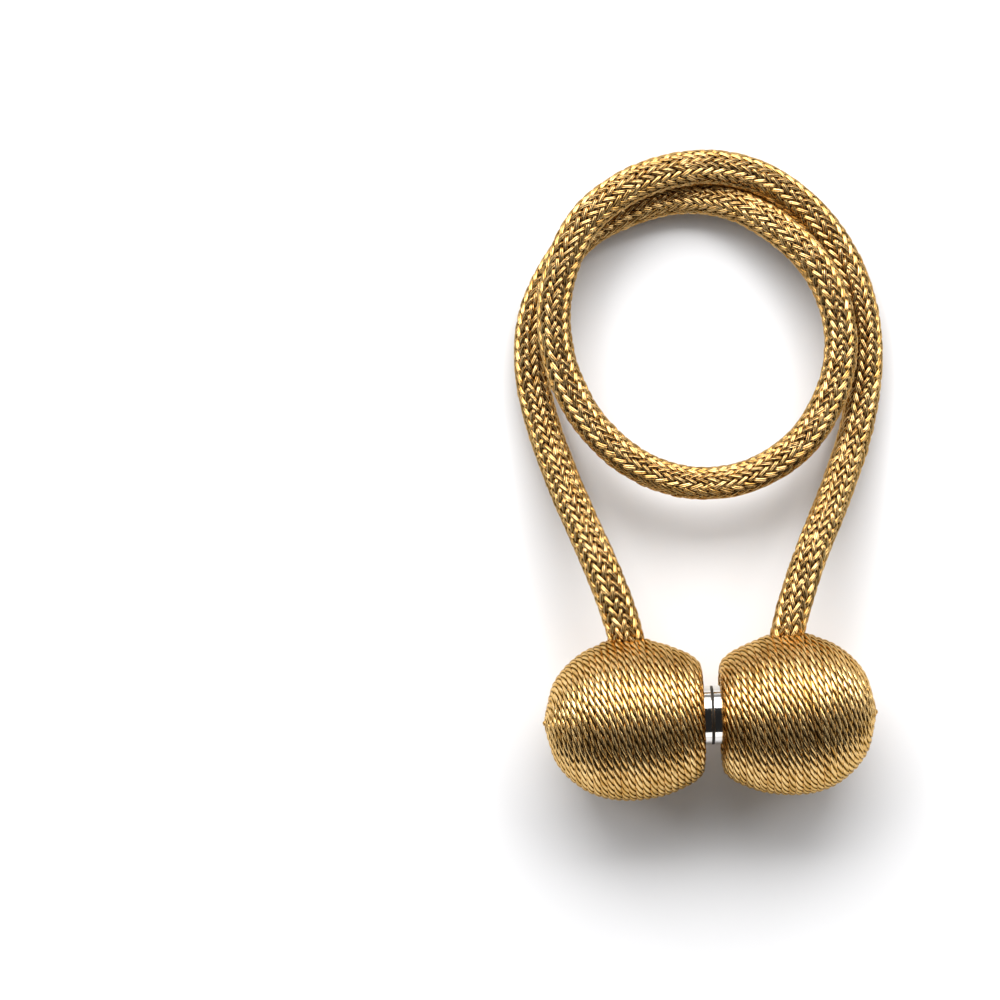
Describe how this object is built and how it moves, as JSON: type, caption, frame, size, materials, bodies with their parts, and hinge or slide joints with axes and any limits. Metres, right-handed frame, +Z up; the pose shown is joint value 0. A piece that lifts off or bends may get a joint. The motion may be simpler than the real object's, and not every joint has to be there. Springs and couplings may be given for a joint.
{
  "type": "magnetic curtain tieback",
  "caption": "Curtain tieback: a braided rope in a loop, with a thread-wound ball on each end and disc magnets that hold the balls together.",
  "frame": {"origin": "on the surface the tieback lies on, under the point between the two balls where the magnets meet", "axes": "+X from the left ball to the right ball, +Y from the balls to the top of the rope's loop, +Z up"},
  "size_m": [0.0831, 0.1455, 0.0356],
  "materials": {
    "gold_braid": "satin",
    "gold_thread": "satin",
    "nickel": "polished"
  },
  "bodies": {
    "root": {"rope": "gold_braid", "ball_left": "gold_thread", "ball_right": "gold_thread", "magnet_left": "nickel", "magnet_right": "nickel"}
  },
  "joints": []
}
